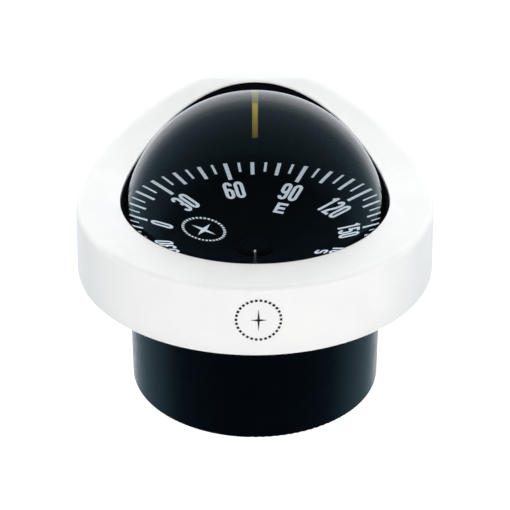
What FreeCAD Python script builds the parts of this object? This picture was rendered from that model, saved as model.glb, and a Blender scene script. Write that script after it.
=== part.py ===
import FreeCAD, Part
import math
import os

V = FreeCAD.Vector
Z = V(0, 0, 1)
O = V(0, 0, 0)

# ---- driving dimensions, mm; the axis of the compass is +Z, the hood stands at +Y ----
BODY_R = 55.0            # outside of the body that goes through the panel
BODY_WALL = 2.5
BODY_FLOOR = 3.0
BODY_EDGE = 0.8          # rounding of the bottom edge
DECK_Z = 56.6            # top of the panel the compass stands in
GASKET_T = 1.2
GASKET_IN = 58.5         # a shoulder of the housing fills the gasket's middle
FLANGE_R = 73.0
FLANGE_T = 4.0
DECK_PCD = 139.0         # screws into the panel
DECK_HOLE_R = 2.1

SPHERE_Z = 76.3          # centre of the bowl's sphere; its rim stands 1 mm below
DOME_Z = 74.6            # centre of the dome's sphere
DOME_R = 56.2
BOWL_R = 54.5
SHELL_T = 3.0            # wall of dome and bowl
RIM_R = 66.0             # flanges of bowl, dome and clamp ring
RIM_T = 3.0
RING_GAP = 0.1           # between the dome and the clamp ring
COLLAR_R = 59.0          # inside of the housing's upstand
CLAMP_PCD = 125.0
CLAMP_HOLE_R = 1.6
CLAMP_SCREWS = 6

BEZEL_R = 77.0           # at the panel
BEZEL_TOP_R = 76.2       # at the front rim
BEZEL_FRONT_Z = 87.1
BEZEL_OPEN_R = 57.4
BEZEL_LIP_R = 59.4       # outside of the short wall round the opening
BEZEL_WALL = 2.8
BEZEL_EDGE = 1.2         # rounding of the outer top edge
EMBLEM_Z = 72.8
EMBLEM_R = 9.4
EMBLEM_DEPTH = 0.4
HOOD_SLOPE = 0.488       # rise of the rim with distance, straight behind the dome
HOOD_CREST_Z = 115.7
HOOD_CREST_Y = 58.7
HOOD_CROWN = 0.0013      # fall of the hood's top to either side
HOOD_FALL = 0.05         # fall of the hood's top towards the back
LINER_R = 57.1
LINER_GAP = 0.6          # clamp ring's lip below the bezel's rim

GIMBAL_Z = 66.0
RING_OUT = 45.6
RING_IN = 43.2
RING_H = 5.0
FRAME_OUT = 41.5
FRAME_IN = 39.6
PIN_R = 1.0
PIN_GAP = 0.05           # radial running clearance
PIVOT_TOP = 64.6

CARD_R = 38.4
CARD_RIM_Z = 69.9
CARD_SLOPE = 0.14
CARD_T = 0.6
POST_Y = 40.5
FORE_Z = (75.5, 83.7)    # yellow part of the far post
FORE_W = 1.4
AFT_Z = (76.5, 84.3)     # silver part of the near post
AFT_W = 0.8

LAMP_Y = 62.6
LAMP_R = 2.5

SHAFT_R = 2.5
SHAFT_LONG_Z = 7.2
SHAFT_CROSS_Z = 13.2
SHAFT_END = 54.0
BLOCK_HALF = 12.0
BLOCK_SCREWS = ((-8.4, -8.4), (8.4, 8.4))


# ---- helpers ----
def revolve(points):
    """Solid of revolution about Z from a closed (r, z) polygon."""
    wire = Part.makePolygon([V(r, 0, z) for r, z in points] + [V(points[0][0], 0, points[0][1])])
    return Part.Face(wire).revolve(O, Z, 360)


def ring(r_in, r_out, z0, z1):
    outer = Part.makeCylinder(r_out, z1 - z0, V(0, 0, z0))
    if r_in <= 0:
        return outer
    return outer.cut(Part.makeCylinder(r_in, z1 - z0 + 2, V(0, 0, z0 - 1)))


def rod(r, start, end):
    start, end = V(*start), V(*end)
    return Part.makeCylinder(r, (end - start).Length, start, end - start)


def box(x0, x1, y0, y1, z0, z1):
    return Part.makeBox(x1 - x0, y1 - y0, z1 - z0, V(x0, y0, z0))


def polar(shape, count, start=0.0):
    out = []
    for i in range(count):
        piece = shape.copy()
        piece.rotate(O, Z, start + 360.0 * i / count)
        out.append(piece)
    return out


def fuse(first, *rest):
    for piece in rest:
        first = first.fuse(piece)
    return first.removeSplitter()


def cut(first, *rest):
    for piece in rest:
        first = first.cut(piece)
    return first


def shell_of_sphere(centre_z, r_in, r_out, low, high):
    """Spherical shell between two heights."""
    centre = V(0, 0, centre_z)
    body = Part.makeSphere(r_out, centre).cut(Part.makeSphere(r_in, centre))
    return body.common(ring(0, r_out + 5, low, high))


def screw(r, length, head_r, head_t, x, y, z):
    """Pan-head screw pointing down with its head's underside at z, and a cross recess."""
    shank = Part.makeCylinder(r, length, V(x, y, z - length))
    head = Part.makeCylinder(head_r, head_t, V(x, y, z))
    head = head.makeFillet(head_t * 0.45, [head.Edges[0]])
    w, a = head_r * 0.16, head_r * 0.55
    top = z + head_t
    slots = [box(x - a, x + a, y - w, y + w, top - head_t * 0.55, top + 1),
             box(x - w, x + w, y - a, y + a, top - head_t * 0.55, top + 1)]
    return cut(shank.fuse(head), *slots)


def sheet_above(rows):
    """Solid above a smooth sheet through a grid of points."""
    sheet = Part.BSplineSurface()
    sheet.interpolate(rows)
    return sheet.toShape().extrude(V(0, 0, 70))


def above_rim(drop):
    """Everything above the bezel's rim, lowered by drop: level in front, sloping behind."""
    rows = []
    for i in range(37):
        phi = math.pi * i / 36
        x, y = math.cos(phi), math.sin(phi)
        rows.append([V(r * x, r * y, BEZEL_FRONT_Z + HOOD_SLOPE * r * y * y - drop)
                     for r in (48, 57, 66, 75, 84)])
    front = box(-90, 90, -90, 0, BEZEL_FRONT_Z - drop, BEZEL_FRONT_Z + 70)
    return [front, sheet_above(rows)]


def above_crest(drop):
    """Everything above the hood's gently crowned top, lowered by drop."""
    rows = []
    for x in range(-90, 91, 15):
        rows.append([V(x, y, HOOD_CREST_Z - HOOD_CROWN * x * x - HOOD_FALL * (y - HOOD_CREST_Y) - drop)
                     for y in (20, 40, 60, 80, 95)])
    return [sheet_above(rows)]


def star(y0, y1, z, r):
    """Four-point star in a thin circle, as a bar along Y."""
    points = []
    for i in range(8):
        a = math.pi * i / 4
        d = r * (0.68 if i % 2 == 0 else 0.19)
        points.append(V(d * math.sin(a), y0, z + d * math.cos(a)))
    body = Part.Face(Part.makePolygon(points + [points[0]])).extrude(V(0, y1 - y0, 0))
    hoop = rod(r, (0, y0, z), (0, y1, z)).cut(rod(r * 0.93, (0, y0 - 1, z), (0, y1 + 1, z)))
    return Part.makeCompound([body, hoop])


def bezel_cone(offset):
    """Outside of the bezel, moved in or out by offset."""
    taper = (BEZEL_R - BEZEL_TOP_R) / (BEZEL_FRONT_Z - DECK_Z)
    top = DECK_Z + 65.0
    return revolve([(0, DECK_Z), (BEZEL_R + offset, DECK_Z),
                    (BEZEL_TOP_R + offset, BEZEL_FRONT_Z),
                    (BEZEL_TOP_R - taper * 6 + offset, top), (0, top)])


# ---- housing side ----
def make_housing():
    collar_z = SPHERE_Z - 1.0 - RIM_T
    base = DECK_Z + GASKET_T
    body = ring(0, BODY_R, 0, base + FLANGE_T)
    body = body.makeFillet(BODY_EDGE, [e for e in body.Edges
                                       if abs(e.BoundBox.ZMax) < 1e-6 and len(e.Vertexes) == 1])
    body = fuse(body, ring(0, FLANGE_R, base, base + FLANGE_T), ring(0, RIM_R, base, collar_z),
                ring(0, GASKET_IN, DECK_Z, base))
    body = cut(body, ring(0, BODY_R - BODY_WALL, BODY_FLOOR, base + FLANGE_T - 2),
               ring(0, COLLAR_R, base + FLANGE_T - 2, collar_z + 1))
    # recess for the cable gland's nut, under a raised boss
    boss = Part.makeCylinder(11, 4, V(-33, 0, BODY_FLOOR - 0.5))
    body = fuse(body, boss)
    body = cut(body, Part.makeCylinder(8.6, 4.2, V(-33, 0, -0.2)),
               Part.makeCylinder(5, 10, V(-33, 0, -1)))
    # tapped holes for the clamp screws, holes for the panel screws
    for x, y in circle(CLAMP_PCD / 2, CLAMP_SCREWS, 0):
        body = body.cut(Part.makeCylinder(1.25, 9, V(x, y, collar_z - 8)))
    for x, y in circle(DECK_PCD / 2, 4, 45):
        body = body.cut(Part.makeCylinder(DECK_HOLE_R, 10, V(x, y, base - 3)))
    # holes for the two compensator shafts
    body = cut(body, rod(4.2, (0, 45, SHAFT_LONG_Z), (0, 60, SHAFT_LONG_Z)),
               rod(4.2, (45, 0, SHAFT_CROSS_Z), (60, 0, SHAFT_CROSS_Z)))
    for x, y in BLOCK_SCREWS:
        body = body.cut(Part.makeCylinder(1.1, 3, V(x, y, 1)))
    return body


def circle(radius, count, start):
    out = []
    for i in range(count):
        a = math.radians(start + 360.0 * i / count)
        out.append((radius * math.cos(a), radius * math.sin(a)))
    return out


def make_gasket():
    body = ring(GASKET_IN, FLANGE_R, DECK_Z, DECK_Z + GASKET_T)
    for x, y in circle(DECK_PCD / 2, 4, 45):
        body = body.cut(Part.makeCylinder(DECK_HOLE_R, 5, V(x, y, DECK_Z - 1)))
    return body


def make_bowl():
    rim_z = SPHERE_Z - 1.0
    inner = BOWL_R - SHELL_T
    wall = shell_of_sphere(SPHERE_Z, inner, BOWL_R, 18, rim_z)
    flange = ring(inner + 1, RIM_R, rim_z - RIM_T, rim_z)
    flange = flange.cut(Part.makeSphere(inner, V(0, 0, SPHERE_Z)))
    spigot = ring(0, 21, 19.8, 34).common(Part.makeSphere(BOWL_R, V(0, 0, SPHERE_Z)).fuse(
        ring(0, 21, 19.8, 27)))
    spigot = spigot.cut(Part.makeSphere(inner, V(0, 0, SPHERE_Z)))
    bosses = []
    for s in (-1, 1):
        boss = rod(4.0, (s * 46.3, 0, GIMBAL_Z), (s * 52.3, 0, GIMBAL_Z))
        bosses.append(boss.common(Part.makeSphere(BOWL_R, V(0, 0, SPHERE_Z))))
    fill = rod(5.5, (0, 36, 40), (0, 46, 40))
    fill = fill.cut(Part.makeSphere(inner, V(0, 0, SPHERE_Z)))
    body = fuse(wall, flange, spigot, fill, *bosses)
    body = cut(body, ring(0, 13.5, 10, 35), rod(2.4, (0, 30, 40), (0, 50, 40)))
    for s in (-1, 1):
        body = body.cut(rod(2.2, (s * 45, 0, GIMBAL_Z), (s * 50.3, 0, GIMBAL_Z)))
    for x, y in circle(CLAMP_PCD / 2, CLAMP_SCREWS, 0):
        body = body.cut(Part.makeCylinder(CLAMP_HOLE_R, 10, V(x, y, rim_z - 6)))
    for x, y in circle(17.3, 4, 22.5):
        body = body.cut(Part.makeCylinder(1.0, 4.2, V(x, y, 18.8)))
    # groove for the O-ring
    return body.cut(ring(57.0, 59.2, rim_z - 1.7, rim_z + 1))


def make_dome():
    rim_z = SPHERE_Z - 1.0
    inner = DOME_R - SHELL_T
    cap = shell_of_sphere(DOME_Z, inner, DOME_R, rim_z, DOME_Z + DOME_R + 1)
    flange = ring(inner + 1, RIM_R, rim_z, rim_z + RIM_T)
    flange = flange.cut(Part.makeSphere(inner, V(0, 0, DOME_Z)))
    body = fuse(cap, flange)
    for x, y in circle(CLAMP_PCD / 2, CLAMP_SCREWS, 0):
        body = body.cut(Part.makeCylinder(CLAMP_HOLE_R, 10, V(x, y, rim_z - 3)))
    return body


def make_clamp_ring():
    base = SPHERE_Z - 1.0 + RIM_T
    flange = ring(DOME_R + RING_GAP, RIM_R, base, base + RIM_T)
    lip = cut(ring(DOME_R + RING_GAP, LINER_R, base, BEZEL_FRONT_Z + 40), *above_rim(LINER_GAP))
    body = fuse(flange, lip)
    for x, y in circle(CLAMP_PCD / 2, CLAMP_SCREWS, 0):
        body = body.cut(Part.makeCylinder(CLAMP_HOLE_R, 10, V(x, y, base - 3)))
    return body.cut(Part.makeCylinder(LAMP_R + 0.1, 10, V(0, LAMP_Y, base - 3)))


def make_diaphragm():
    # one raised corrugation between the clamped edge and the middle
    return revolve([(0, 19.0), (7, 19.0), (8.2, 20.6), (10.2, 20.6), (11.4, 18.8), (21, 18.8),
                    (21, 19.8), (12, 19.8), (10.7, 21.6), (7.7, 21.6), (6.5, 20.0), (0, 20.0)])


def make_diaphragm_cover():
    body = revolve([(2.0, 16.4), (21, 16.4), (21, 18.8), (13.5, 18.8), (13.5, 17.6), (2.0, 17.6)])
    for x, y in circle(17.3, 4, 22.5):
        body = body.cut(Part.makeCylinder(1.3, 5, V(x, y, 15)))
    return body


def holed_diaphragm():
    body = make_diaphragm()
    for x, y in circle(17.3, 4, 22.5):
        body = body.cut(Part.makeCylinder(1.3, 5, V(x, y, 17)))
    return body


def diaphragm_screws():
    out = []
    for x, y in circle(17.3, 4, 22.5):
        shank = Part.makeCylinder(1.0, 6.4, V(x, y, 16.4))
        head = Part.makeCylinder(1.9, 1.0, V(x, y, 15.4))
        out.append(fuse(shank, head))
    return Part.makeCompound(out)


def clamp_screws():
    z = SPHERE_Z - 1.0 + 2 * RIM_T
    out = [screw(1.25, 16.0, 2.7, 1.9, x, y, z) for x, y in circle(CLAMP_PCD / 2, CLAMP_SCREWS, 0)]
    return Part.makeCompound(out)


def make_filler_plug():
    head = rod(4.4, (0, 47.0, 40), (0, 49.0, 40))
    body = fuse(head, rod(2.4, (0, 40.0, 40), (0, 47.0, 40)))
    return body.cut(box(-5, 5, 48.2, 50, 39.4, 40.6))


def gimbal_bushes():
    out = []
    for s in (-1, 1):
        bush = rod(2.2, (s * 46.3, 0, GIMBAL_Z), (s * 49.9, 0, GIMBAL_Z))
        out.append(bush.cut(rod(PIN_R + PIN_GAP, (s * 45, 0, GIMBAL_Z), (s * 51, 0, GIMBAL_Z))))
    return Part.makeCompound(out)


# ---- gimbal side ----
def make_gimbal_ring():
    z0, z1 = GIMBAL_Z - RING_H / 2, GIMBAL_Z + RING_H / 2
    body = ring(RING_IN, RING_OUT, z0, z1)
    for s in (-1, 1):
        body = body.fuse(rod(PIN_R, (s * (RING_OUT - 1.5), 0, GIMBAL_Z), (s * 49.4, 0, GIMBAL_Z)))
        body = body.cut(rod(PIN_R + PIN_GAP, (0, s * (RING_IN - 1), GIMBAL_Z),
                            (0, s * (RING_OUT + 1), GIMBAL_Z)))
    return body


def make_frame():
    z0, z1 = GIMBAL_Z - RING_H / 2, GIMBAL_Z + RING_H / 2
    body = ring(FRAME_IN, FRAME_OUT, z0, z1)
    # four arms from the ring down to the hub
    arm = Part.Face(Part.makePolygon([
        V(FRAME_IN + 1, 0, z1 - 0.5), V(FRAME_IN + 1, 0, z0 + 0.2), V(36.5, 0, 56), V(28.5, 0, 47.5),
        V(17, 0, 42.4), V(4, 0, 41.0), V(4, 0, 44.0), V(16.3, 0, 45.4), V(26.3, 0, 49.8),
        V(33.4, 0, 57.2), V(FRAME_IN - 1.5, 0, z0 + 2.4), V(FRAME_IN - 0.6, 0, z1 - 0.5),
        V(FRAME_IN + 1, 0, z1 - 0.5)])).extrude(V(0, 3.0, 0))
    arm.translate(V(0, -1.5, 0))
    hub = fuse(ring(0, 6.0, 40.5, 46.0), ring(0, 3.2, 46.0, 50.0))
    body = fuse(body, hub, *polar(arm, 4, 45))
    for s in (-1, 1):
        pin = rod(PIN_R, (0, s * (FRAME_OUT - 1.2), GIMBAL_Z), (0, s * (RING_OUT - 0.3), GIMBAL_Z))
        half = (FORE_W if s > 0 else AFT_W) / 2
        post = box(-half, half, -0.9, 0.9, z1 - 0.6, FORE_Z[0] if s > 0 else AFT_Z[0])
        post.translate(V(0, s * POST_Y, 0))
        body = fuse(body, pin, post)
    return body.cut(Part.makeCylinder(1.2, 30, V(0, 0, 38)))


def make_pivot():
    body = Part.makeCylinder(1.2, PIVOT_TOP - 2.2 - 41.0, V(0, 0, 41.0))
    tip = Part.makeCone(1.2, 0.25, 2.2, V(0, 0, PIVOT_TOP - 2.2))
    return fuse(body, tip)


def make_counterweight():
    body = revolve([(0, 34.0), (9.0, 34.0), (11.0, 35.5), (12.0, 40.5), (0, 40.5)])
    return cut(body, Part.makeCylinder(1.3, 10, V(0, 0, 33)), Part.makeCylinder(2.7, 2.6, V(0, 0, 33.5)))


def make_counterweight_screw():
    head = Part.makeCylinder(2.4, 1.5, V(0, 0, 34.6)).cut(box(-0.4, 0.4, -3, 3, 34.0, 35.2))
    return head.fuse(Part.makeCylinder(1.2, 4.9, V(0, 0, 36.0)))


def make_mark(span, y, width):
    body = box(-width / 2, width / 2, y - 0.9, y + 0.9, span[0], span[1])
    tall = [e for e in body.Edges if abs(e.BoundBox.ZMax - e.BoundBox.ZMin) > 1]
    return body.makeFillet(0.3, tall)


# ---- card side ----
def card_top(r):
    return CARD_RIM_Z + CARD_SLOPE * (r - CARD_R)


def make_card():
    t = CARD_T
    body = revolve([(4.0, card_top(4.0) - t), (CARD_R - 1.2, card_top(CARD_R - 1.2) - t),
                    (CARD_R - 1.2, card_top(CARD_R) - 2.2), (CARD_R, card_top(CARD_R) - 2.2),
                    (CARD_R, card_top(CARD_R) - 0.3), (CARD_R - 0.3, card_top(CARD_R)),
                    (4.0, card_top(4.0))])
    return body


def make_cap():
    top = card_top(5.2)
    return revolve([(0, top - 0.1), (4.0, top - 0.1), (4.0, top), (5.6, card_top(5.6)),
                    (5.3, top + 0.7), (4.3, top + 1.2), (0, top + 1.5)])


def make_float():
    """Hollow buoyancy float under the card, with a tube for the jewel cup in its middle."""
    under = [(r, card_top(r) - CARD_T) for r in (4.0, 22.0)]
    body = revolve([under[0], (4.0, 55.0), (17.5, 55.0), (21.0, 58.5), under[1]])
    hollow = revolve([(5.2, card_top(5.2) - CARD_T - 1.2), (5.2, 56.2), (17.0, 56.2), (19.8, 59.0),
                      (20.8, card_top(20.8) - CARD_T - 1.2)])
    return body.cut(hollow)


def make_carrier():
    """Plate under the float with a lip on each side of the two bar magnets."""
    body = ring(4.0, 17.0, 53.8, 55.0)
    for s in (-1, 1):
        for y in (6.6, 11.4):
            lip = box(-12.0, 12.0, s * y - 0.6, s * y + 0.6, 52.2, 54.0)
            body = body.fuse(lip)
    return body.removeSplitter()


def card_magnets():
    bars = [box(-13.5, 13.5, s * 9.0 - 1.7, s * 9.0 + 1.7, 50.6, 53.8) for s in (-1, 1)]
    return Part.makeCompound(bars)


def make_jewel():
    top = card_top(5.2) - 0.1
    tip = PIVOT_TOP + PIN_GAP
    return revolve([(0, top), (4.0, top), (4.0, 60.5), (2.4, 60.5), (2.4, 62.0), (0.45, tip), (0, tip)])


# ---- compensator ----
def make_block():
    body = box(-BLOCK_HALF, BLOCK_HALF, -BLOCK_HALF, BLOCK_HALF, BODY_FLOOR, 16.0)
    body = body.makeFillet(2.0, [e for e in body.Edges
                                 if abs(e.BoundBox.ZMax - e.BoundBox.ZMin) > 5])
    body = cut(body, rod(SHAFT_R + PIN_GAP, (0, -20, SHAFT_LONG_Z), (0, 20, SHAFT_LONG_Z)),
               rod(SHAFT_R + PIN_GAP, (-20, 0, SHAFT_CROSS_Z), (20, 0, SHAFT_CROSS_Z)))
    for x, y in BLOCK_SCREWS:
        body = cut(body, Part.makeCylinder(1.3, 20, V(x, y, 1)),
                   Part.makeCylinder(2.6, 4, V(x, y, 13.2)))
    return body


def block_screws():
    out = [screw(1.1, 11.4, 2.3, 1.5, x, y, 13.2) for x, y in BLOCK_SCREWS]
    return Part.makeCompound(out)


def make_shaft(z):
    """Adjusting shaft along Y with a screwdriver slot; turned onto X for the other one."""
    body = rod(SHAFT_R, (0, -31, z), (0, SHAFT_END, z))
    body = body.cut(box(-0.5, 0.5, SHAFT_END - 1.2, SHAFT_END + 1, z - 3, z + 3))
    for y in (-26, 26):
        body = body.cut(rod(1.0, (0, y, z - 4), (0, y, z + 4)))
    return body


def shaft_magnets(z):
    out = [rod(1.0, (0, y, z - 3.3), (0, y, z + 3.3)) for y in (-26, 26)]
    return Part.makeCompound(out)


def onto_x(shape):
    out = shape.copy()
    out.rotate(O, Z, -90)
    return out


def make_grommet(z):
    outer = rod(4.2, (0, 51.0, z), (0, 54.2, z)).fuse(rod(5.6, (0, 49.6, z), (0, 51.6, z)))
    body = outer.cut(rod(SHAFT_R + PIN_GAP, (0, 40, z), (0, 60, z)))
    keep = ring(0, BODY_R - BODY_WALL, BODY_FLOOR, 30).fuse(rod(4.2, (0, 45, z), (0, 60, z)))
    return body.common(keep)


# ---- lamp and lead ----
def make_lamp():
    stem = Part.makeCylinder(LAMP_R, 4.0, V(0, LAMP_Y, 80.9))
    return fuse(stem, Part.makeSphere(LAMP_R, V(0, LAMP_Y, 80.9)))


def make_lamp_holder():
    base = SPHERE_Z - 1.0 + 2 * RIM_T
    body = box(-7, 7, LAMP_Y - 4.5, LAMP_Y + 7.5, base, base + 9)
    body = body.makeFillet(1.5, [e for e in body.Edges
                                 if abs(e.BoundBox.ZMax - e.BoundBox.ZMin) > 5])
    body = body.cut(Part.makeCylinder(LAMP_R, 84.9 - base, V(0, LAMP_Y, base)))
    return body.cut(ring(0, BEZEL_LIP_R + 0.4, base - 1, base + 12))


def make_gland():
    body = fuse(Part.makeCylinder(5.0, 8.5, V(-33, 0, 1.0)), Part.makeCylinder(8.0, 2.0, V(-33, 0, 6.5)))
    return body.cut(Part.makeCylinder(2.0, 20, V(-33, 0, -1)))


def make_gland_nut():
    points = [V(-33 + 7.6 * math.cos(math.radians(a)), 7.6 * math.sin(math.radians(a)), 1.2)
              for a in range(0, 360, 60)]
    body = Part.Face(Part.makePolygon(points + [points[0]])).extrude(V(0, 0, 2.8))
    return body.cut(Part.makeCylinder(5.0, 6, V(-33, 0, 0)))


# ---- hood bezel ----
def make_bezel():
    outer = bezel_cone(0).cut(ring(0, BEZEL_OPEN_R, DECK_Z - 1, DECK_Z + 80))
    outer = cut(outer, *above_rim(0.0), *above_crest(0.0))
    top_edges = []
    for e in outer.Edges:
        p = e.valueAt((e.FirstParameter + e.LastParameter) / 2)
        seam = p.y > 0 and p.z < BEZEL_FRONT_Z + 0.1
        if p.z > BEZEL_FRONT_Z - 0.1 and math.hypot(p.x, p.y) > 70 and not seam:
            top_edges.append(e)
    outer = outer.makeFillet(BEZEL_EDGE, top_edges)
    hollow = bezel_cone(-BEZEL_WALL).cut(ring(0, BEZEL_LIP_R, 83, DECK_Z + 80))
    hollow = hollow.fuse(ring(0, BEZEL_R - BEZEL_WALL - 0.5, DECK_Z - 1, DECK_Z + 1))
    hollow = cut(hollow, *above_rim(3.0), *above_crest(3.0))
    body = outer.cut(hollow)
    # ribs that centre the bezel on the housing's flange
    rib = box(FLANGE_R + 0.3, FLANGE_R + 2.2, -1.2, 1.2, DECK_Z + 0.6, DECK_Z + 24)
    body = fuse(body, *polar(rib, 8, 22.5))
    return body.cut(emblem_bar(0.0))


def emblem_bar(proud):
    bar = star(-BEZEL_R - 1, -BEZEL_R + 8, EMBLEM_Z, EMBLEM_R)
    skin = bezel_cone(proud).cut(bezel_cone(-EMBLEM_DEPTH))
    return Part.makeCompound([s.common(skin) for s in bar.Solids])


# ---- write every piece ----
def main():
    os.makedirs("parts", exist_ok=True)
    long_shaft = make_shaft(SHAFT_LONG_Z)
    cross_shaft = onto_x(make_shaft(SHAFT_CROSS_Z))
    pieces = {
        "housing": make_housing(),
        "mounting_gasket": make_gasket(),
        "bowl": make_bowl(),
        "dome": make_dome(),
        "clamp_ring": make_clamp_ring(),
        "clamp_screw": clamp_screws(),
        "dome_seal": Part.makeTorus(58.1, 0.85, V(0, 0, SPHERE_Z - 1.0 - 0.85)),
        "diaphragm": holed_diaphragm(),
        "diaphragm_cover": make_diaphragm_cover(),
        "diaphragm_screw": diaphragm_screws(),
        "filler_plug": make_filler_plug(),
        "filler_seal": rod(4.4, (0, 46, 40), (0, 47, 40)).cut(rod(2.4, (0, 45, 40), (0, 48, 40))),
        "gimbal_bush": gimbal_bushes(),
        "gimbal_ring": make_gimbal_ring(),
        "lubber_frame": make_frame(),
        "pivot_pin": make_pivot(),
        "counterweight": make_counterweight(),
        "counterweight_screw": make_counterweight_screw(),
        "lubber_mark_fore": make_mark(FORE_Z, POST_Y, FORE_W),
        "lubber_mark_aft": make_mark(AFT_Z, -POST_Y, AFT_W),
        "card": make_card(),
        "card_cap": make_cap(),
        "card_float": make_float(),
        "magnet_carrier": make_carrier(),
        "card_magnet": card_magnets(),
        "jewel_cup": make_jewel(),
        "compensator_block": make_block(),
        "block_screw": block_screws(),
        "compensator_shaft_long": long_shaft,
        "compensator_magnet_long": shaft_magnets(SHAFT_LONG_Z),
        "compensator_shaft_cross": cross_shaft,
        "compensator_magnet_cross": onto_x(shaft_magnets(SHAFT_CROSS_Z)),
        "shaft_grommet": Part.makeCompound([make_grommet(SHAFT_LONG_Z),
                                            onto_x(make_grommet(SHAFT_CROSS_Z))]),
        "lamp": make_lamp(),
        "lamp_holder": make_lamp_holder(),
        "cable_gland": make_gland(),
        "gland_nut": make_gland_nut(),
        "hood_bezel": make_bezel(),
        "bezel_emblem": emblem_bar(0.1),
    }
    for name, shape in pieces.items():
        shape.exportStep(os.path.join("parts", name + ".step"))
        box_ = shape.BoundBox
        print(name, len(shape.Solids), shape.isValid(), round(shape.Volume, 1),
              [round(v, 2) for v in (box_.XMin, box_.XMax, box_.YMin, box_.YMax, box_.ZMin, box_.ZMax)])


main()
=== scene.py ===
import bpy
import math
import numpy as np
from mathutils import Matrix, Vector


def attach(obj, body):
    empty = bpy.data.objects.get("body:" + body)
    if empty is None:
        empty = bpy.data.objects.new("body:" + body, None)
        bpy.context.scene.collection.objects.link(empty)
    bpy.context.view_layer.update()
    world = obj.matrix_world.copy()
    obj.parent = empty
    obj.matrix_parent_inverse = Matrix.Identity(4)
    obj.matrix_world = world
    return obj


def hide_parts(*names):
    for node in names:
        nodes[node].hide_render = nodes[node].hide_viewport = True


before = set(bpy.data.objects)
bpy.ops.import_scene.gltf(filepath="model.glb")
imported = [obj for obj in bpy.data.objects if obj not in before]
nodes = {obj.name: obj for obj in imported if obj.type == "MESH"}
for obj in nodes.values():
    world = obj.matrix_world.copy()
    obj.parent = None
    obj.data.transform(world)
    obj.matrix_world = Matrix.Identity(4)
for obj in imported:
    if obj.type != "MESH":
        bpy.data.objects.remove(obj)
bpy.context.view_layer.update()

# ---- sizes in millimetres, as in the CAD source; meshes are scaled to metres when they are made ----
MM = 0.001
DECK_Z = 56.6
BEZEL_R = 77.0
FRONT_RIM_R = 76.2
FRONT_Z = 87.1
OPEN_R = 57.4
EMBLEM_Z = 72.8
EMBLEM_X = 1.4
LIP_R = 59.4             # outside of the short wall round the opening
BEZEL_WALL = 2.8
ROOF_T = 3.0
HOOD_SLOPE = 0.488
CREST_Z = 115.7
CREST_Y = 58.7
HOOD_CROWN = 0.0013
HOOD_FALL = 0.05
CREST_BLEND = 0.5        # softness of the crease along the hood's crest
EDGE_FRONT = 2.7         # rounding of the outer rim in front
EDGE_HOOD = 9.5          # and round the hood
EDGE_OPEN = 0.35         # rounding of the opening's edge
LIP_LOW = 83.0           # lower edge of the opening's short wall
FOOT_FLARE = 0.5         # rounding of the outer wall's foot
PRINT_PROUD = 0.07       # emblem above the wall
PRINT_DEEP = 0.1         # emblem into the wall
DASHES = 30
DASH_IN, DASH_OUT = 8.3, 9.3
STAR_TALL, STAR_WIDE, STAR_WAIST = 5.0, 3.2, 0.62
RIBS = 8
RIB_H = 24.0
RIB_CHAMFER = 1.0
RIB_IN, RIB_OUT = 73.3, 74.6

RIM_Z = 75.3             # underside of the dome's flange
DOME_Z = 74.6            # centre of the dome's sphere
DOME_R = 56.2
DOME_WALL = 3.0
RIM_R = 66.0
RIM_T = 3.0
LINER_R = 57.1
LINER_GAP = 0.6          # clamp ring's lip below the bezel's rim
RING_GAP = 0.1           # between the dome and the clamp ring
SEAT_R = 57.5            # where the dome's flange meets its sphere
EDGE = 0.3               # small roundings of flange and ring
DOME_SEGMENTS = 256
BEZEL_SEGMENTS = 480
RING_SEGMENTS = 360

CARD_R = 38.4
CARD_RIM_Z = 69.9
CARD_SLOPE = 0.14
HEADING = 71.0           # heading that stands at the fore lubber mark
INK_T = 0.05
TICK_OUT = 38.2
NUMERAL_R = 28.2
STROKE = 0.92
DIGIT_PITCH = 2.86
DIGIT_WIDE, DIGIT_TALL = 0.72, 0.93
TICKS = ((30, 32.4, 1.05), (10, 33.9, 0.95), (5, 35.0, 0.65))    # step, inner end, width
CARDINALS = ((90, "E", 21.3, 0.8), (180, "S", 22.0, 0.8), (270, "W", 21.3, 1.0))
CARDINAL_TALL = 1.05
BADGE_HEADING, BADGE_R = 12.0, 17.1
BADGE_DASHES, BADGE_RING, BADGE_DASH, BADGE_STROKE = 34, 6.0, 6.2, 0.8
BADGE_STAR, BADGE_WAIST = 3.9, 0.75

# ---- stage, light and camera in metres and degrees ----
FLOOR_HALF = 400.0
LIGHT_TARGET = (0, 0, 0.07)
BOX_DISTANCE = 1.2
BOX_HEIGHT = 0.13
CAMERA_PLACE = (0.0, -0.5911, 0.3999)
CAMERA_DOWN = 30.06      # below the horizontal
CAMERA_LENS = 110.64


# ---- mesh helpers ----
def new_object(name, verts, faces, material, body, smooth_angle=32.0):
    """A mesh object from millimetre points, riding on a CAD body."""
    mesh = bpy.data.meshes.new(name)
    mesh.from_pydata([(x * MM, y * MM, z * MM) for x, y, z in verts], [], faces)
    mesh.validate()
    mesh.update()
    mesh.materials.append(material)
    mesh.shade_smooth()
    mesh.set_sharp_from_angle(angle=math.radians(smooth_angle))
    obj = bpy.data.objects.new(name, mesh)
    bpy.context.scene.collection.objects.link(obj)
    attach(obj, body)
    return obj


def ring_grid(sections):
    """Points and quads of closed sections set round the axis; sections[i] is a list of (x, y, z)."""
    verts = [p for s in sections for p in s]
    m, n = len(sections), len(sections[0])
    faces = []
    for i in range(m):
        k = (i + 1) % m
        for j in range(n):
            l = (j + 1) % n
            faces.append((i * n + j, k * n + j, k * n + l, i * n + l))
    return verts, faces


def lathe(profile, segments):
    """Closed (r, z) profile turned about the axis."""
    sections = []
    for i in range(segments):
        a = 2 * math.pi * i / segments
        sections.append([(r * math.cos(a), r * math.sin(a), z) for r, z in profile])
    return ring_grid(sections)


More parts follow.
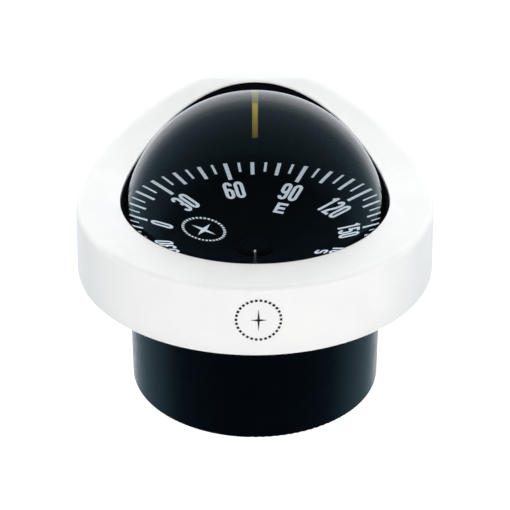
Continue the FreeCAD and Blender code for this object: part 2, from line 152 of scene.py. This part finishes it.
def arc(cx, cy, r, a0, a1, count):
    """Points of an arc in a plane, angles in degrees."""
    out = []
    for i in range(count + 1):
        a = math.radians(a0 + (a1 - a0) * i / count)
        out.append((cx + r * math.cos(a), cy + r * math.sin(a)))
    return out


def smoothstep(x, low, high):
    t = min(max((x - low) / (high - low), 0.0), 1.0)
    return t * t * (3 - 2 * t)


# ---- materials ----
def material(name, color, roughness, **values):
    """A Principled material; values are socket names with underscores for spaces."""
    mat = bpy.data.materials.new(name)
    mat.use_nodes = True
    shader = mat.node_tree.nodes["Principled BSDF"]
    shader.inputs["Base Color"].default_value = (*color, 1.0)
    shader.inputs["Roughness"].default_value = roughness
    for key, value in values.items():
        shader.inputs[key.replace("_", " ")].default_value = value
    mat.diffuse_color = (*color, 1.0)
    return mat


def noise(mat, scale, detail=3.0, roughness=0.55, stretch=(1, 1, 1)):
    """Noise in object space; scale is in features per metre."""
    tree = mat.node_tree
    coords = tree.nodes.new("ShaderNodeTexCoord")
    mapping = tree.nodes.new("ShaderNodeMapping")
    mapping.inputs["Scale"].default_value = stretch
    texture = tree.nodes.new("ShaderNodeTexNoise")
    texture.inputs["Scale"].default_value = scale
    texture.inputs["Detail"].default_value = detail
    texture.inputs["Roughness"].default_value = roughness
    tree.links.new(coords.outputs["Object"], mapping.inputs["Vector"])
    tree.links.new(mapping.outputs["Vector"], texture.inputs["Vector"])
    return texture.outputs["Fac"]


def vary_roughness(mat, source, low, high):
    tree = mat.node_tree
    span = tree.nodes.new("ShaderNodeMapRange")
    span.inputs["From Min"].default_value = 0.3
    span.inputs["From Max"].default_value = 0.7
    span.inputs["To Min"].default_value = low
    span.inputs["To Max"].default_value = high
    tree.links.new(source, span.inputs["Value"])
    tree.links.new(span.outputs["Result"], tree.nodes["Principled BSDF"].inputs["Roughness"])


def vary_color(mat, source, dark, light):
    tree = mat.node_tree
    ramp = tree.nodes.new("ShaderNodeValToRGB")
    ramp.color_ramp.elements[0].position = 0.3
    ramp.color_ramp.elements[1].position = 0.7
    ramp.color_ramp.elements[0].color = (*dark, 1.0)
    ramp.color_ramp.elements[1].color = (*light, 1.0)
    tree.links.new(source, ramp.inputs["Fac"])
    tree.links.new(ramp.outputs["Color"], tree.nodes["Principled BSDF"].inputs["Base Color"])


def add_bump(mat, source, strength, distance):
    tree = mat.node_tree
    bump = tree.nodes.new("ShaderNodeBump")
    bump.inputs["Strength"].default_value = strength
    bump.inputs["Distance"].default_value = distance
    tree.links.new(source, bump.inputs["Height"])
    tree.links.new(bump.outputs["Normal"], tree.nodes["Principled BSDF"].inputs["Normal"])


def grained(name, dark, light, roughness, spread, grain, depth):
    """Moulded plastic or rubber: fine grain, slow tint changes and uneven gloss."""
    mat = material(name, light, roughness)
    vary_color(mat, noise(mat, 60.0, 4.0), dark, light)
    vary_roughness(mat, noise(mat, 220.0, 4.0), roughness - spread, roughness + spread)
    add_bump(mat, noise(mat, grain, 2.0), 0.35, depth)
    return mat


def turned(name, dark, light, roughness):
    """Machined metal with fine tool marks."""
    mat = material(name, light, roughness, Metallic=1.0)
    vary_color(mat, noise(mat, 400.0, 3.0), dark, light)
    vary_roughness(mat, noise(mat, 900.0, 3.0), roughness - 0.07, roughness + 0.09)
    add_bump(mat, noise(mat, 1500.0, 2.0, stretch=(1, 1, 6)), 0.25, 0.00002)
    return mat


white_shell = grained("white_shell", (0.83, 0.845, 0.845),
                      (0.87, 0.88, 0.88), 0.34, 0.04, 2600.0, 0.000008)
black_body = grained("black_body", (0.0003, 0.0008, 0.0018),
                     (0.0006, 0.0014, 0.0028), 0.25, 0.05, 2400.0, 0.00002)
black_satin = grained("black_satin", (0.003, 0.0035, 0.0045),
                      (0.005, 0.006, 0.0075), 0.42, 0.06, 2200.0, 0.00002)
black_inner = grained("black_inner", (0.0012, 0.0018, 0.0028),
                      (0.002, 0.0028, 0.004), 0.8, 0.05, 2200.0, 0.00002)
black_card = grained("black_card", (0.0014, 0.0024, 0.0036),
                     (0.002, 0.0032, 0.0046), 0.8, 0.05, 2600.0, 0.00001)
for inner in (black_inner, black_card):
    inner.node_tree.nodes["Principled BSDF"].inputs["Specular IOR Level"].default_value = 0.08
black_rubber = grained("black_rubber", (0.012, 0.012, 0.013),
                       (0.022, 0.022, 0.024), 0.75, 0.08, 1500.0, 0.00004)
steel = turned("steel", (0.52, 0.53, 0.55), (0.68, 0.69, 0.71), 0.26)
magnet_steel = turned("magnet_steel", (0.28, 0.28, 0.3), (0.42, 0.42, 0.44), 0.38)
brass = turned("brass", (0.62, 0.44, 0.17), (0.8, 0.6, 0.28), 0.28)
cast_weight = grained("cast_weight", (0.05, 0.05, 0.055), (0.1, 0.1, 0.11), 0.62, 0.08, 700.0, 0.00012)
float_foam = grained("float_foam", (0.6, 0.6, 0.56), (0.72, 0.72, 0.68), 0.6, 0.08, 900.0, 0.00008)
mark_yellow = grained("mark_yellow", (0.68, 0.5, 0.06), (0.78, 0.6, 0.09), 0.5, 0.05, 1500.0, 0.00002)
mark_silver = grained("mark_silver", (0.5, 0.5, 0.53), (0.6, 0.6, 0.63), 0.5, 0.05, 1500.0, 0.00002)
dial_ink_and_painted_light = grained("dial_ink_and_painted_light", (0.72, 0.76, 0.78), (0.8, 0.83, 0.85), 0.55, 0.05, 2600.0, 0.00001)
# painted light: besides its own printed colour, the dial ink glows with a weak bluish emission that
# stands in for light falling on the card; the ink is no lamp
painted_light_shader = dial_ink_and_painted_light.node_tree.nodes["Principled BSDF"]
painted_light_shader.inputs["Emission Color"].default_value = (0.8, 0.9, 1.0, 1.0)
painted_light_shader.inputs["Emission Strength"].default_value = 0.4
emblem_ink = grained("emblem_ink", (0.004, 0.004, 0.004),
                     (0.012, 0.012, 0.012), 0.5, 0.05, 2600.0, 0.00001)
ruby = material("ruby", (0.5, 0.02, 0.05), 0.12, Transmission_Weight=0.5, IOR=1.76)
vary_color(ruby, noise(ruby, 900.0), (0.4, 0.01, 0.03), (0.6, 0.04, 0.08))
lamp_lens = material("lamp_lens", (0.6, 0.03, 0.02), 0.15, Transmission_Weight=0.6, IOR=1.5)
vary_color(lamp_lens, noise(lamp_lens, 500.0), (0.5, 0.02, 0.01), (0.7, 0.05, 0.03))


def make_clear():
    """Clear acrylic against the liquid inside: one refracting surface, on the outside."""
    mat = material("dome_clear", (0.97, 0.985, 1.0), 0.0, Transmission_Weight=1.0, IOR=1.41)
    vary_roughness(mat, noise(mat, 40.0, 4.0), 0.0, 0.02)
    return mat


def make_wetted():
    """The dome's inner wall, which the liquid makes invisible."""
    mat = bpy.data.materials.new("dome_wetted")
    mat.use_nodes = True
    tree = mat.node_tree
    tree.nodes.remove(tree.nodes["Principled BSDF"])
    clear = tree.nodes.new("ShaderNodeBsdfTransparent")
    clear.inputs["Color"].default_value = (1.0, 1.0, 1.0, 1.0)
    tree.links.new(clear.outputs["BSDF"], tree.nodes["Material Output"].inputs["Surface"])
    return mat


dome_clear = make_clear()
dome_wetted = make_wetted()


# ---- bezel ----
def edge_radius(phi):
    """Rounding of the outer rim: small in front, large round the hood."""
    return EDGE_FRONT + (EDGE_HOOD - EDGE_FRONT) * smoothstep(math.sin(phi), 0.0, 1.0)


def rim_radius(phi):
    """Top of the outer wall; the wall has less draft where it runs up into the hood."""
    return FRONT_RIM_R + (BEZEL_R - 0.1 - FRONT_RIM_R) * smoothstep(math.sin(phi), 0.0, 0.7)


def rounded_top(r, level, slope, wall, edge):
    """Height of a sloping surface at r, rounded over into the outer wall; level is its height there."""
    root = math.sqrt(1 + slope * slope)
    centre = wall - edge
    centre_z = level - slope * edge - edge * root
    if r <= centre - edge * slope / root:
        return level + slope * (r - wall)
    return centre_z + math.sqrt(max(edge * edge - (r - centre) ** 2, 0.0))


def soft_min(a, b, k):
    h = max(k - abs(a - b), 0.0) / k
    return min(a, b) - h * h * k * 0.25


def rise(phi):
    s = math.sin(phi)
    return HOOD_SLOPE * s * s if s > 0 else 0.0


def top_height(r, phi, edge, wall):
    """Bezel top at a radius: the widening slope cut off by the hood's crowned top."""
    c, s = math.cos(phi), math.sin(phi)
    slope = rise(phi)
    body = rounded_top(r, FRONT_Z + slope * wall, slope, wall, edge)
    if s <= 0.2:
        return body
    crown = CREST_Z - HOOD_CROWN * (r * c) ** 2 - HOOD_FALL * (r * s - CREST_Y)
    crown_slope = -2 * HOOD_CROWN * wall * c * c - HOOD_FALL * s
    level = CREST_Z - HOOD_CROWN * (wall * c) ** 2 - HOOD_FALL * (wall * s - CREST_Y)
    over = rounded_top(r, level, crown_slope, wall, edge) if r > wall - 1.6 * edge else crown
    return soft_min(body, min(over, crown), CREST_BLEND)


def bezel_section(phi):
    """Closed section of the bezel shell at one azimuth, as (r, z)."""
    edge, wall = edge_radius(phi), rim_radius(phi)
    out = [(BEZEL_R - FOOT_FLARE, DECK_Z), (BEZEL_R - 0.12, DECK_Z + 0.12),
           (BEZEL_R - 0.01, DECK_Z + FOOT_FLARE)]
    wall_top = top_height(wall, phi, edge, wall)
    for t in (0.25, 0.5, 0.75):
        out.append((BEZEL_R + (wall - BEZEL_R) * t, DECK_Z + (wall_top - DECK_Z) * t))
    out.append((wall, wall_top))
    # over the rounded rim
    for i in range(1, 17):
        r = wall - edge + edge * math.cos(math.pi / 2 * i / 16)
        out.append((r, top_height(r, phi, edge, wall)))
    # across the top, and over the opening's edge
    inner = OPEN_R + EDGE_OPEN
    start = wall - edge
    for i in range(1, 49):
        r = start + (inner - start) * i / 48
        out.append((r, top_height(r, phi, edge, wall)))
    level = top_height(inner, phi, edge, wall)
    for i in range(1, 9):
        a = math.pi / 2 * i / 8
        r = inner - EDGE_OPEN * math.sin(a)
        slope = rise(phi)
        out.append((r, level + slope * (r - inner) - EDGE_OPEN * (1 - math.cos(a))))
    # inside: down the opening's wall, under the roof, down inside the outer wall
    shell_in = BEZEL_R - BEZEL_WALL
    roof = [(r, top_height(r, phi, edge, wall) - ROOF_T) for r in
            (LIP_R, LIP_R + 4, LIP_R + 8, wall - BEZEL_WALL - 1.2)]
    out += [(OPEN_R, LIP_LOW + EDGE), (OPEN_R + EDGE, LIP_LOW),
            (LIP_R - EDGE, LIP_LOW), (LIP_R, LIP_LOW + EDGE)]
    out += roof
    out += [(wall - BEZEL_WALL, roof[-1][1] - 1.5), (shell_in, DECK_Z + EDGE), (shell_in + EDGE, DECK_Z)]
    return out


def make_bezel():
    sections = []
    for i in range(BEZEL_SEGMENTS):
        phi = 2 * math.pi * i / BEZEL_SEGMENTS
        c, s = math.cos(phi), math.sin(phi)
        sections.append([(r * c, r * s, z) for r, z in bezel_section(phi)])
    verts, faces = ring_grid(sections)
    shell = new_object("bezel_shell", verts, faces, white_shell, "hood", 40.0)
    shell.visible_glossy = False
    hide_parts("hood_bezel")
    make_ribs()


def on_bezel(x, z, lift):
    """A point of the bezel's front wall, x along the wall and z above the emblem's centre."""
    r = BEZEL_R + (FRONT_RIM_R - BEZEL_R) * (EMBLEM_Z + z - DECK_Z) / (FRONT_Z - DECK_Z) + lift
    a = (x + EMBLEM_X) / r
    return (r * math.sin(a), -r * math.cos(a), EMBLEM_Z + z)


def slab(verts, faces, outline):
    """A thin raised print on the bezel from a convex outline, with its edge."""
    base, n = len(verts), len(outline)
    verts += [on_bezel(x, z, PRINT_PROUD) for x, z in outline]
    verts += [on_bezel(x, z, -PRINT_DEEP) for x, z in outline]
    faces.append(tuple(base + i for i in range(n)))
    for i in range(n):
        j = (i + 1) % n
        faces.append((base + j, base + i, base + n + i, base + n + j))


def make_emblem():
    """Generic mark: a slender four-point star in a ring of dashes."""
    verts, faces = [], []
    for k in range(DASHES):
        a0 = 2 * math.pi * (k + 0.22) / DASHES
        a1 = 2 * math.pi * (k + 0.78) / DASHES
        slab(verts, faces, [(r * math.sin(a), r * math.cos(a)) for r, a in
                            ((DASH_OUT, a0), (DASH_IN, a0), (DASH_IN, a1), (DASH_OUT, a1))])
    for k in range(4):
        a = math.pi / 2 * k
        length, half = STAR_TALL if k % 2 == 0 else STAR_WIDE, STAR_WAIST
        tip = (length * math.sin(a), length * math.cos(a))
        left = (half * math.sin(a - math.pi / 4), half * math.cos(a - math.pi / 4))
        right = (half * math.sin(a + math.pi / 4), half * math.cos(a + math.pi / 4))
        slab(verts, faces, [tip, left, (0.0, 0.0), right])
    emblem = new_object("emblem_print", verts, faces, emblem_ink, "hood")
    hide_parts("bezel_emblem")


def make_ribs():
    """Ribs inside the bezel that centre it on the flange."""
    verts, faces = [], []
    for k in range(RIBS):
        a = math.radians(22.5 + 45.0 * k)
        c, s = math.cos(a), math.sin(a)
        base = len(verts)
        for z, inner in ((DECK_Z + 0.6, RIB_IN), (DECK_Z + RIB_H - RIB_CHAMFER, RIB_IN),
                         (DECK_Z + RIB_H, RIB_IN + 0.7)):
            for r, w in ((inner, -1.0), (inner, 1.0), (RIB_OUT, 1.2), (RIB_OUT, -1.2)):
                verts.append((r * c - w * s, r * s + w * c, z))
        for lvl in (0, 4):
            for j in range(4):
                l = (j + 1) % 4
                faces.append((base + lvl + j, base + lvl + l, base + lvl + 4 + l, base + lvl + 4 + j))
        faces.append((base + 3, base + 2, base + 1, base))
        faces.append((base + 8, base + 9, base + 10, base + 11))
    ribs = new_object("bezel_ribs", verts, faces, white_shell, "hood")


# ---- dome and clamp ring ----
def make_dome():
    """Clear hemisphere with its flange; the inner wall has the wetted material."""
    rim, top = RIM_Z, RIM_Z + RIM_T
    inner = DOME_R - DOME_WALL
    start = math.degrees(math.asin((top - DOME_Z) / DOME_R))
    low = math.degrees(math.asin((rim - DOME_Z) / inner))
    outer = arc(0, DOME_Z, DOME_R, start, 89.6, 72)
    wet = arc(0, DOME_Z, inner, 89.6, low, 72)
    flange = [(RIM_R - 0.4, rim), (RIM_R, rim + 0.4), (RIM_R, top - 0.4), (RIM_R - 0.4, top),
              (SEAT_R, top)]
    profile = flange + outer + wet
    verts, faces = lathe(profile, DOME_SEGMENTS)
    n = len(profile)
    crown_out, crown_in = len(flange) + len(outer) - 1, len(flange) + len(outer)
    # close the small hole left at the pole on both walls instead of joining the walls there
    faces = [f for k, f in enumerate(faces) if k % n != crown_out]
    faces.append(tuple(i * n + crown_out for i in range(DOME_SEGMENTS)))
    faces.append(tuple(i * n + crown_in for i in reversed(range(DOME_SEGMENTS))))
    dome = new_object("dome_shell", verts, faces, dome_clear, "housing", 30.0)
    dome.data.materials.append(dome_wetted)
    limit = (inner + DOME_R) / 2 * MM
    centre = Vector((0, 0, DOME_Z * MM))
    for face in dome.data.polygons:
        if (face.center - centre).length < limit and face.center.z > rim * MM + 1e-6:
            face.material_index = 1
    dome.visible_shadow = False
    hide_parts("dome")


def make_clamp_ring():
    """Black ring that holds the dome down, with a lip that follows the bezel's rim."""
    base, top = RIM_Z + RIM_T, RIM_Z + RIM_T + RIM_T
    inner, outer = DOME_R + RING_GAP, LINER_R
    steps = 6
    sections = []
    for i in range(RING_SEGMENTS):
        phi = 2 * math.pi * i / RING_SEGMENTS
        c, s = math.cos(phi), math.sin(phi)
        lip = FRONT_Z + rise(phi) * outer - LINER_GAP
        section = [(inner, base), (RIM_R - EDGE, base), (RIM_R, base + EDGE), (RIM_R, top - EDGE),
                   (RIM_R - EDGE, top), (outer + EDGE, top), (outer, top + EDGE)]
        for j in range(1, steps):
            section.append((outer, top + EDGE + (lip - top - 2 * EDGE) * j / steps))
        section += [(outer, lip - EDGE), (outer - 0.25, lip),
                    (inner + 0.25, lip - 0.05), (inner, lip - 0.35)]
        for j in range(1, steps):
            section.append((inner, lip - 0.35 + (base - lip + 0.35) * j / steps))
        sections.append([(r * c, r * s, z) for r, z in section])
    verts, faces = ring_grid(sections)
    ring = new_object("clamp_ring_lip", verts, faces, black_inner, "housing", 40.0)
    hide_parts("clamp_ring")


# ---- dial marks ----
def card_z(r):
    return CARD_RIM_Z + CARD_SLOPE * (r - CARD_R)


class Ink:
    """Collects flat printed strokes and lays them on the dished card."""

    def __init__(self):
        self.verts = []
        self.faces = []

    def ribbon(self, path, width, place, closed=False):
        """A stroke of even width along a path; place turns glyph x, y into card x, y."""
        pts = [np.array(p, float) for p in path]
        n = len(pts)
        left, right = [], []
        for i in range(n):
            before = pts[(i - 1) % n] if closed or i > 0 else None
            after = pts[(i + 1) % n] if closed or i < n - 1 else None
            d0 = unit(pts[i] - before) if before is not None else unit(after - pts[i])
            d1 = unit(after - pts[i]) if after is not None else d0
            normal = unit(np.array([-(d0[1] + d1[1]), d0[0] + d1[0]]))
            reach = width / 2 / max(abs(normal @ np.array([-d0[1], d0[0]])), 0.4)
            left.append(place(*(pts[i] + normal * reach)))
            right.append(place(*(pts[i] - normal * reach)))
        base = len(self.verts)
        for a, b in zip(left, right):
            self.add(a)
            self.add(b)
        last = n if closed else n - 1
        for i in range(last):
            j = (i + 1) % n
            self.faces.append((base + 2 * i, base + 2 * i + 1, base + 2 * j + 1, base + 2 * j))

    def add(self, p):
        x, y = p
        self.verts.append((x, y, card_z(math.hypot(x, y)) + INK_T))


def unit(v):
    return v / max(np.linalg.norm(v), 1e-9)


def on_card(heading, radius):
    """Placement of a glyph whose top points outward at a heading and radius."""
    a = math.radians(heading - HEADING)
    c, s = math.cos(a), math.sin(a)

    def place(gx, gy):
        r = radius + gy
        return (s * r + c * gx, c * r - s * gx)
    return place


def glyph(char):
    """Centrelines of a condensed bold numeral or a capital, as paths on a 2.2 by 6.1 grid."""
    r, top, low = 1.1, 1.95, -1.95
    if char == "0":
        return [(arc(0, top, r, 0, 180, 12) + arc(0, low, r, 180, 360, 12), True)]
    if char == "1":
        return [([(0.5, -3.55), (0.5, 3.55)], False), ([(0.5, 3.0), (-0.75, 2.1)], False)]
    if char == "2":
        foot = [(1.02, 1.2), (0.7, 0.3), (-0.6, -1.7), (-1.0, -3.05), (1.6, -3.05)]
        return [(arc(0, top, r, 180, 0, 12) + foot, False)]
    if char == "3":
        upper = arc(0, top, r, 180, 0, 12) + arc(0.2, 0.95, 0.9, 0, -90, 6) + [(-0.35, 0.05)]
        lower = [(-0.35, 0.05)] + arc(0.2, -0.85, 0.9, 90, 0, 6) + arc(0, low, r, 0, -180, 12)
        return [(upper, False), (lower, False)]
    if char == "4":
        return [([(0.6, -3.55), (0.6, 3.55)], False), ([(0.5, 3.3), (-1.15, -1.3)], False),
                ([(-1.6, -1.6), (1.6, -1.6)], False)]
    if char == "5":
        return [([(1.45, 3.05), (-0.95, 3.05), (-1.0, 0.35)] + arc(0.05, -0.3, 1.05, 140, 0, 8)
                 + arc(0, low, r, 0, -180, 12), False)]
    if char == "6":
        outline = arc(0, top, r, 0, 180, 12) + arc(0, low, r, 180, 360, 12)
        return [(outline + arc(0, -0.7, r, 0, 180, 12), False)]
    if char == "7":
        return [([(-1.55, 3.05), (1.05, 3.05), (0.1, 0.0), (-0.3, -3.55)], False)]
    if char == "8":
        return [(arc(0, top, 1.02, 0, 180, 12) + arc(0, 1.15, 1.02, 180, 360, 12), True),
                (arc(0, -1.05, r, 0, 180, 12) + arc(0, low, r, 180, 360, 12), True)]
    if char == "9":
        return [([(-x, -y) for x, y in path], closed) for path, closed in glyph("6")]
    if char == "E":
        return [([(1.95, 1.7), (-1.3, 1.7), (-1.3, -1.7), (1.95, -1.7)], False),
                ([(-1.3, 0), (1.6, 0)], False)]
    if char == "S":
        upper = arc(0.45, 0.85, 0.85, 20, 90, 5) + arc(-0.45, 0.85, 0.85, 90, 270, 12)
        lower = arc(0.45, -0.85, 0.85, 90, -90, 12) + arc(-0.45, -0.85, 0.85, 270, 200, 5)
        return [(upper + lower, False)]
    if char == "W":
        return [([(-1.9, 2.2), (-1.0, -1.6), (0, 1.8), (1.0, -1.6), (1.9, 2.2)], False)]
    return []


def make_badge(ink):
    """Generic mark on the card: a four-point star in a ring of dashes."""
    badge = on_card(BADGE_HEADING, BADGE_R)
    for k in range(BADGE_DASHES):
        a = 360 / BADGE_DASHES * k
        ink.ribbon(arc(0, 0, BADGE_RING, a, a + BADGE_DASH, 2), BADGE_STROKE, badge)
    for k in range(4):
        a = math.radians(90 * k)
        tip = (BADGE_STAR * math.sin(a), BADGE_STAR * math.cos(a))
        side = (BADGE_WAIST * math.cos(a), -BADGE_WAIST * math.sin(a))
        base = len(ink.verts)
        for p in ((0.0, 0.0), side, tip, (-side[0], -side[1])):
            ink.add(badge(*p))
        ink.faces.append((base, base + 3, base + 2, base + 1))


def make_marks():
    ink = Ink()
    for heading in range(0, 360, 5):
        inner, width = next((r, w) for step, r, w in TICKS if heading % step == 0)
        ink.ribbon([(0, inner), (0, TICK_OUT)], width, on_card(heading, 0.0))
    for heading in range(0, 360, 30):
        text = str(heading)
        for i, char in enumerate(text):
            shift = (i - (len(text) - 1) / 2) * DIGIT_PITCH
            for path, closed in glyph(char):
                moved = [(x * DIGIT_WIDE + shift, y * DIGIT_TALL) for x, y in path]
                ink.ribbon(moved, STROKE, on_card(heading, NUMERAL_R), closed)
    for heading, char, radius, wide in CARDINALS:
        for path, closed in glyph(char):
            moved = [(x * wide, y * CARDINAL_TALL) for x, y in path]
            ink.ribbon(moved, STROKE, on_card(heading, radius), closed)
    make_badge(ink)
    marks = new_object("card_marks", ink.verts, ink.faces, dial_ink_and_painted_light, "card")
    up_facing(marks)


def up_facing(obj):
    """Turns every face of a flat print upward."""
    mesh = obj.data
    for face in mesh.polygons:
        if face.normal.z < 0:
            face.flip()
    mesh.update()


# ---- finishes of the CAD nodes that stay ----
FINISHES = {
    "housing": black_body, "mounting_gasket": black_rubber, "bowl": black_inner, "clamp_screw": steel,
    "dome_seal": black_rubber, "diaphragm": black_rubber, "diaphragm_cover": black_satin,
    "diaphragm_screw": steel, "filler_plug": brass, "filler_seal": black_rubber, "gimbal_bush": brass,
    "gimbal_ring": black_inner, "lubber_frame": black_inner, "pivot_pin": steel,
    "counterweight": cast_weight, "counterweight_screw": steel, "lubber_mark_fore": mark_yellow,
    "lubber_mark_aft": mark_silver, "card": black_card, "card_cap": black_card, "card_float": float_foam,
    "magnet_carrier": black_satin, "card_magnet": magnet_steel, "jewel_cup": ruby,
    "compensator_block": black_satin, "block_screw": brass, "compensator_shaft_long": brass,
    "compensator_magnet_long": magnet_steel, "compensator_shaft_cross": brass,
    "compensator_magnet_cross": magnet_steel, "shaft_grommet": black_rubber, "lamp": lamp_lens,
    "lamp_holder": black_satin, "cable_gland": black_satin, "gland_nut": black_satin,
}


def finish_nodes():
    for name, mat in FINISHES.items():
        mesh = nodes[name].data
        mesh.materials.clear()
        mesh.materials.append(mat)


# ---- stage, light and camera ----
def make_floor():
    """An evenly lit pale floor, which puts no light or reflection on the object."""
    size = FLOOR_HALF
    corners = [(-size, -size, 0), (size, -size, 0), (size, size, 0), (-size, size, 0)]
    mesh = bpy.data.meshes.new("floor")
    mesh.from_pydata(corners, [], [(0, 1, 2, 3)])
    floor = bpy.data.objects.new("floor", mesh)
    bpy.context.scene.collection.objects.link(floor)
    pale = material("floor_pale", (0.3, 0.3, 0.3), 0.9)
    shader = pale.node_tree.nodes["Principled BSDF"]
    shader.inputs["Emission Color"].default_value = (1, 1, 1, 1)
    shader.inputs["Emission Strength"].default_value = 1.0
    mesh.materials.append(pale)
    floor.visible_glossy = False
    floor.visible_diffuse = False


def area_light(name, place, size, power):
    """A soft box aimed at the bezel; it doesn't show in reflections or through the dome."""
    data = bpy.data.lights.new(name, "AREA")
    data.shape = "RECTANGLE"
    data.size, data.size_y = size
    data.energy = power
    data.color = (1.0, 0.99, 0.98)
    lamp = bpy.data.objects.new(name, data)
    lamp.location = place
    lamp.rotation_euler = (Vector(LIGHT_TARGET) - Vector(place)).to_track_quat("-Z", "Y").to_euler()
    lamp.visible_glossy = False
    lamp.visible_transmission = False
    bpy.context.scene.collection.objects.link(lamp)


def make_world():
    """Soft surroundings: dark in front of the object and bright behind it."""
    world = bpy.data.worlds.new("studio")
    bpy.context.scene.world = world
    world.use_nodes = True
    tree = world.node_tree
    coords = tree.nodes.new("ShaderNodeTexCoord")
    split = tree.nodes.new("ShaderNodeSeparateXYZ")
    # y less a share of y z, so that the upper part is darker than the lower
    lower = tree.nodes.new("ShaderNodeMath")
    lower.operation = "MULTIPLY_ADD"
    lower.inputs[1].default_value = -0.3
    lower.inputs[2].default_value = 1.0
    shade = tree.nodes.new("ShaderNodeMath")
    shade.operation = "MULTIPLY"
    depth = tree.nodes.new("ShaderNodeMapRange")
    depth.inputs["From Min"].default_value = -1.0
    ramp = tree.nodes.new("ShaderNodeValToRGB")
    stops = ((0.0, (0.012, 0.022, 0.03)), (0.38, (0.035, 0.065, 0.085)), (0.525, (0.13, 0.24, 0.32)),
             (0.75, (0.24, 0.39, 0.48)), (0.82, (0.28, 0.42, 0.51)), (0.9, (0.6, 0.72, 0.8)),
             (0.94, (1.0, 1.07, 1.14)))
    elements = ramp.color_ramp.elements
    elements[0].position, elements[0].color = stops[0][0], (*stops[0][1], 1)
    elements[1].position, elements[1].color = stops[-1][0], (*stops[-1][1], 1)
    for place, color in stops[1:-1]:
        elements.new(place).color = (*color, 1)
    tree.links.new(coords.outputs["Generated"], split.inputs["Vector"])
    tree.links.new(split.outputs["Z"], lower.inputs[0])
    tree.links.new(lower.outputs["Value"], shade.inputs[0])
    tree.links.new(split.outputs["Y"], shade.inputs[1])
    tree.links.new(shade.outputs["Value"], depth.inputs["Value"])
    tree.links.new(depth.outputs["Result"], ramp.inputs["Fac"])
    tree.links.new(ramp.outputs["Color"], tree.nodes["Background"].inputs["Color"])
    tree.nodes["Background"].inputs["Strength"].default_value = 1.0
    world.cycles_visibility.diffuse = False


def make_lights():
    """A high key from behind, a weak box above, and low boxes round the front."""
    area_light("back_key", (0.0, 0.98, 1.12), (1.5, 0.9), 30.5)
    area_light("overhead", (0.0, -0.5, 1.05), (1.2, 1.2), 1.6)
    for turn in (-90, -45, 0, 45, 90):
        side = math.radians(turn)
        place = (BOX_DISTANCE * math.sin(side), -BOX_DISTANCE * math.cos(side), BOX_HEIGHT)
        # a little stronger on the right, as in the photograph
        area_light(f"front_box_{turn + 90}", place, (0.9, 0.24), 6.1 + 0.005 * turn)


def make_camera():
    data = bpy.data.cameras.new("camera")
    data.sensor_width = 36.0
    data.lens = CAMERA_LENS
    data.clip_start = 0.01
    camera = bpy.data.objects.new("camera", data)
    camera.location = CAMERA_PLACE
    camera.rotation_euler = (math.radians(90.0 - CAMERA_DOWN), 0.0, 0.0)
    bpy.context.scene.collection.objects.link(camera)
    bpy.context.scene.camera = camera
    bpy.context.scene.view_settings.view_transform = "Standard"


make_bezel()
make_emblem()
make_dome()
make_clamp_ring()
make_marks()
finish_nodes()
make_floor()
make_world()
make_lights()
make_camera()
